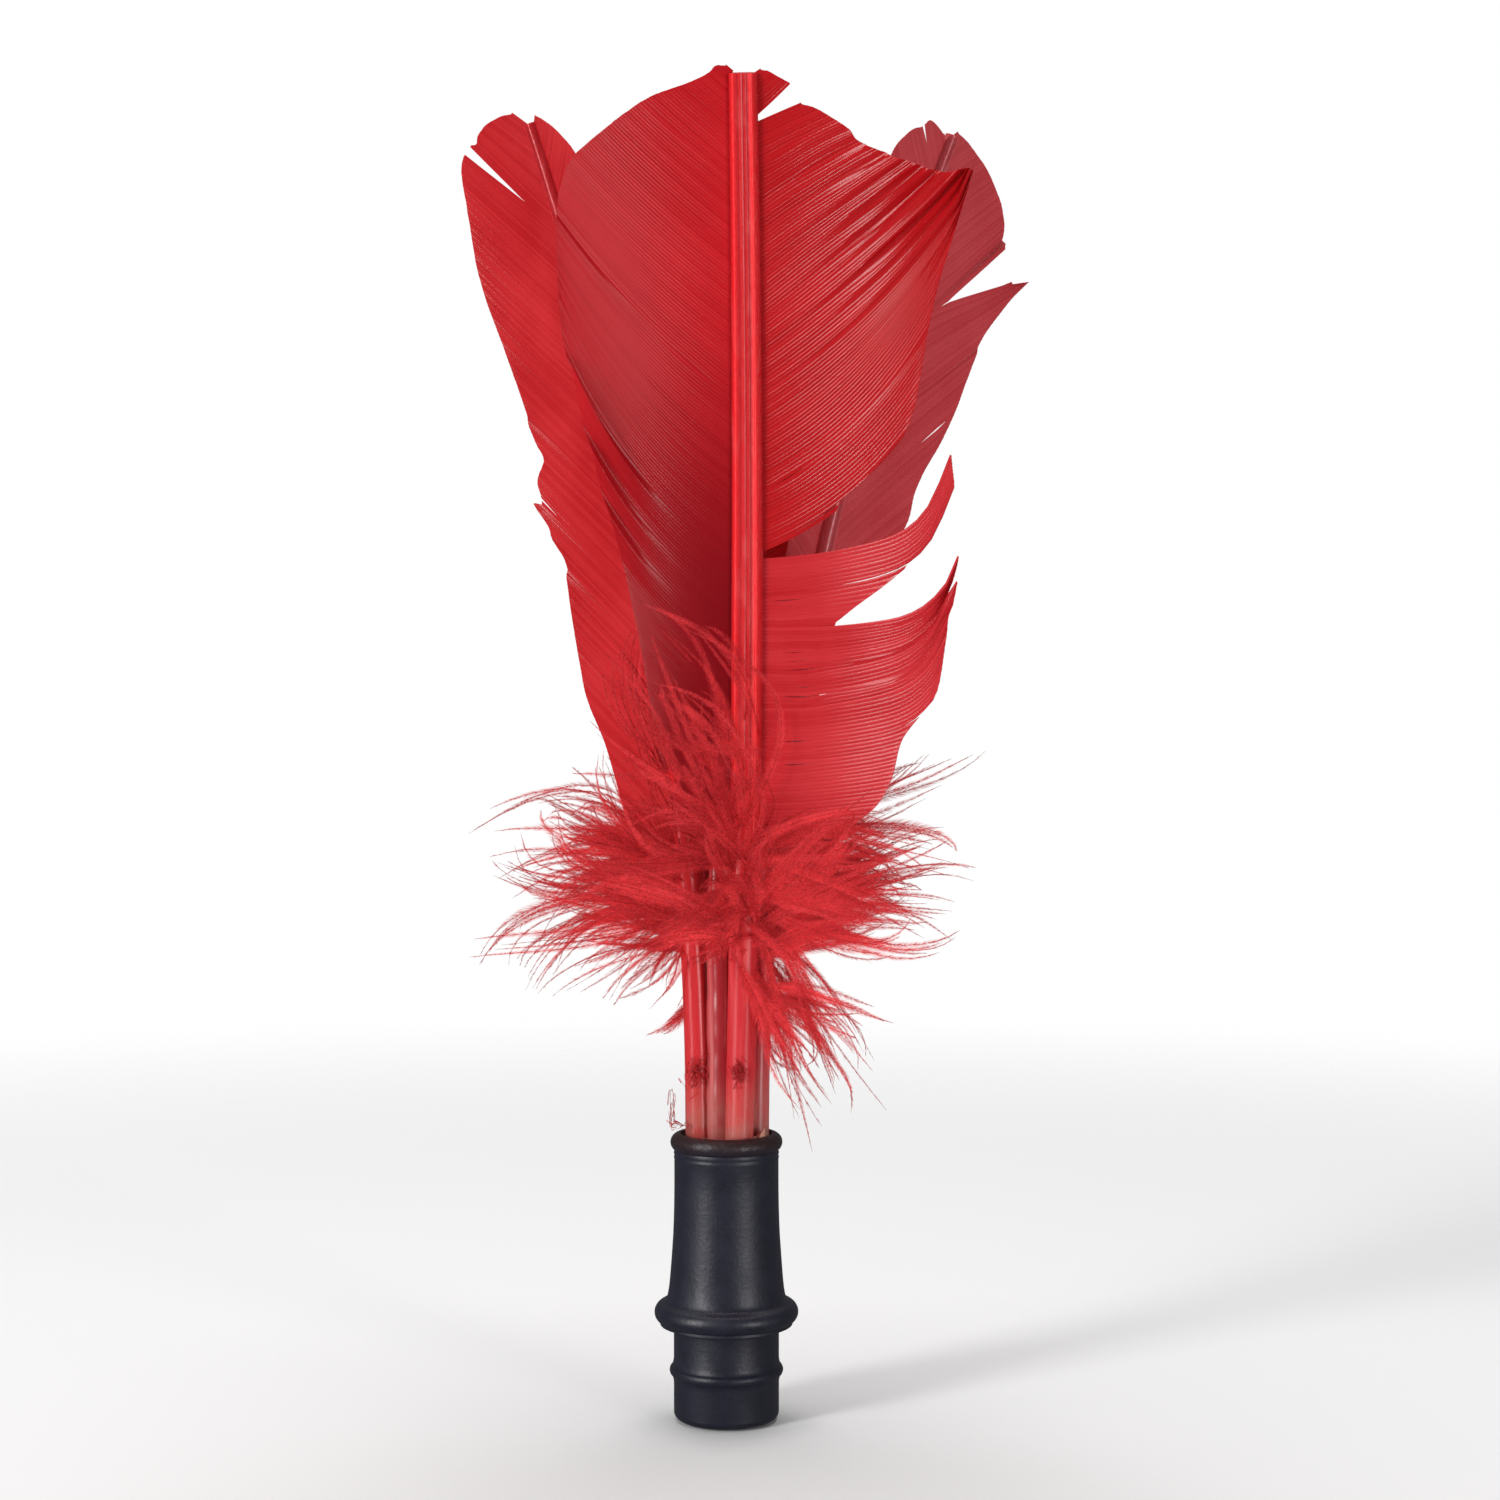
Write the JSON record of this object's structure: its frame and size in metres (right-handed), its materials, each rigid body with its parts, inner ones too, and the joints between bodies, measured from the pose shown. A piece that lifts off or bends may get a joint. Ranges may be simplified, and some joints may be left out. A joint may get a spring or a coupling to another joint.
{
  "type": "feather tuft with plug",
  "caption": "Tuft of red-dyed feathers glued in a black moulded plug, the replaceable top of a hand-struck shuttlecock; its ringed spigot pushes into the striking pad.",
  "frame": {"origin": "centre of the plug's flat lower end", "axes": "+Z along the plug's axis, towards the feather tips; the front feather faces -Y"},
  "size_m": [0.0952, 0.0726, 0.2166],
  "materials": {
    "plug_plastic": "satin black, moulded soft plastic",
    "adhesive": "set amber adhesive",
    "shaft": "glossy horn, dyed red, translucent",
    "vane": "satin feather barbs, dyed red",
    "down": "loose down, dyed red"
  },
  "bodies": {
    "root": {"plug": "plug_plastic", "adhesive": "adhesive", "front_feather_shaft": "shaft", "front_feather_left_vane": "vane", "front_feather_right_vane_upper": "vane", "front_feather_right_vane_middle_lock": "vane", "front_feather_right_vane_lower": "vane", "front_feather_down": "down", "left_feather_shaft": "shaft", "left_feather_front_vane": "vane", "left_feather_back_vane": "vane", "left_feather_down": "down", "right_feather_shaft": "shaft", "right_feather_front_vane": "vane", "right_feather_back_vane": "vane", "right_feather_down": "down", "back_feather_shaft": "shaft", "back_feather_left_vane": "vane", "back_feather_right_vane": "vane", "back_feather_down": "down"}
  },
  "joints": []
}
